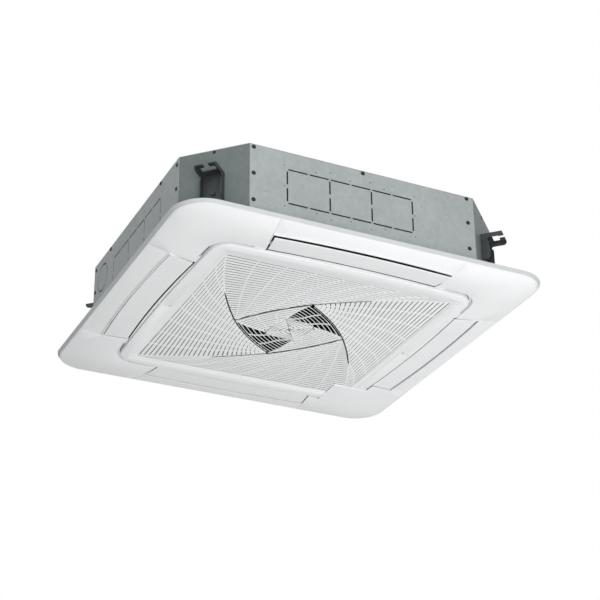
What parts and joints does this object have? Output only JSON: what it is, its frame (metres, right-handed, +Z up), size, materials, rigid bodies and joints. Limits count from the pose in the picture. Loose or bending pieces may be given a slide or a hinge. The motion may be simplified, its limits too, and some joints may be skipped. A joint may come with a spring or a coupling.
{
  "type": "ceiling cassette air conditioner",
  "caption": "Four-way ceiling cassette air conditioner: octagonal galvanised casing with hanging brackets over a square white panel with air vanes and a whirl intake grille.",
  "frame": {"origin": "centre of the unit, level with the lowest face of the grille", "axes": "+Z up into the ceiling, -Y towards the front vane, +Y towards the pipe ends"},
  "size_m": [0.95, 0.95, 0.23],
  "materials": {
    "galvanised": "galvanised sheet",
    "dark_steel": "dark zinc",
    "panel_white": "satin",
    "foam": "expanded foam",
    "fins": "fins",
    "copper": "copper",
    "grey_plastic": "satin",
    "black_plastic": "satin",
    "filter_mesh": "fine mesh",
    "board": "satin"
  },
  "bodies": {
    "unit": {"top_plate": "galvanised", "side_plate_front": "galvanised", "side_plate_right": "galvanised", "side_plate_back": "galvanised", "side_plate_left": "galvanised", "corner_plate_front_left": "galvanised", "corner_plate_front_right": "galvanised", "corner_plate_back_right": "galvanised", "corner_plate_back_left": "galvanised", "pipe_cover_plate": "galvanised", "coil_end_plate_back": "galvanised", "coil_end_plate_right": "galvanised", "coil_baffle": "galvanised", "motor_mount": "galvanised", "control_box": "galvanised", "control_box_cover": "galvanised", "pump_bracket": "galvanised", "hanger_bracket_front_left": "dark_steel", "hanger_bracket_front_right": "dark_steel", "hanger_bracket_back_right": "dark_steel", "hanger_bracket_back_left": "dark_steel", "fan_motor": "dark_steel", "panel_frame": "panel_white", "corner_cover_front_left": "panel_white", "corner_cover_front_right": "panel_white", "corner_cover_back_right": "panel_white", "corner_cover_back_left": "panel_white", "foam_liner": "foam", "drain_pan": "foam", "heat_exchanger": "fins", "gas_pipe": "copper", "liquid_pipe": "copper", "gas_flare_nut": "copper", "liquid_flare_nut": "copper", "vane_motor_front": "grey_plastic", "vane_motor_right": "grey_plastic", "vane_motor_back": "grey_plastic", "vane_motor_left": "grey_plastic", "bell_plate": "grey_plastic", "bell_mouth": "grey_plastic", "drain_pump": "grey_plastic", "float_switch": "grey_plastic", "drain_hose": "grey_plastic", "drain_spigot": "grey_plastic", "terminal_block": "black_plastic", "control_board": "board"},
    "fan": {"motor_shaft": "dark_steel", "fan_impeller": "grey_plastic", "fan_nut": "dark_steel"},
    "pump_rotor": {"pump_impeller": "grey_plastic"},
    "float": {"float_ring": "panel_white"},
    "grille": {"grille": "panel_white", "filter": "filter_mesh"},
    "latch_right": {"grille_latch_right": "panel_white"},
    "latch_left": {"grille_latch_left": "panel_white"},
    "vane_front": {"vane_front": "panel_white"},
    "vane_right": {"vane_right": "panel_white"},
    "vane_back": {"vane_back": "panel_white"},
    "vane_left": {"vane_left": "panel_white"}
  },
  "joints": [
    {"name": "fan_spin", "type": "hinge", "parent": "unit", "child": "fan", "pos_m": [0, 0, 0.16], "axis": [0, 0, 1], "continuous": true},
    {"name": "pump_spin", "type": "hinge", "parent": "unit", "child": "pump_rotor", "pos_m": [0.305, 0.305, 0.08], "axis": [0, 0, 1], "continuous": true},
    {"name": "float_lift", "type": "slide", "parent": "unit", "child": "float", "axis": [0, 0, 1], "range_m": [0, 0.024]},
    {"name": "vane_front_swing", "type": "hinge", "parent": "unit", "child": "vane_front", "pos_m": [0, -0.368, 0.0125], "axis": [1, 0, 0], "range_deg": [0, 60]},
    {"name": "vane_right_swing", "type": "hinge", "parent": "unit", "child": "vane_right", "pos_m": [0.368, 0, 0.0125], "axis": [0, 1, 0], "range_deg": [0, 60]},
    {"name": "vane_back_swing", "type": "hinge", "parent": "unit", "child": "vane_back", "pos_m": [0, 0.368, 0.0125], "axis": [-1, 0, 0], "range_deg": [0, 60]},
    {"name": "vane_left_swing", "type": "hinge", "parent": "unit", "child": "vane_left", "pos_m": [-0.368, 0, 0.0125], "axis": [0, -1, 0], "range_deg": [0, 60]},
    {"name": "grille_drop", "type": "hinge", "parent": "unit", "child": "grille", "pos_m": [0, 0.336, 0.0064], "axis": [1, 0, 0], "range_deg": [0, 90]},
    {"name": "latch_right_slide", "type": "slide", "parent": "grille", "child": "latch_right", "axis": [-1, 0, 0], "range_m": [0, 0.006]},
    {"name": "latch_left_slide", "type": "slide", "parent": "grille", "child": "latch_left", "axis": [1, 0, 0], "range_m": [0, 0.006]}
  ]
}
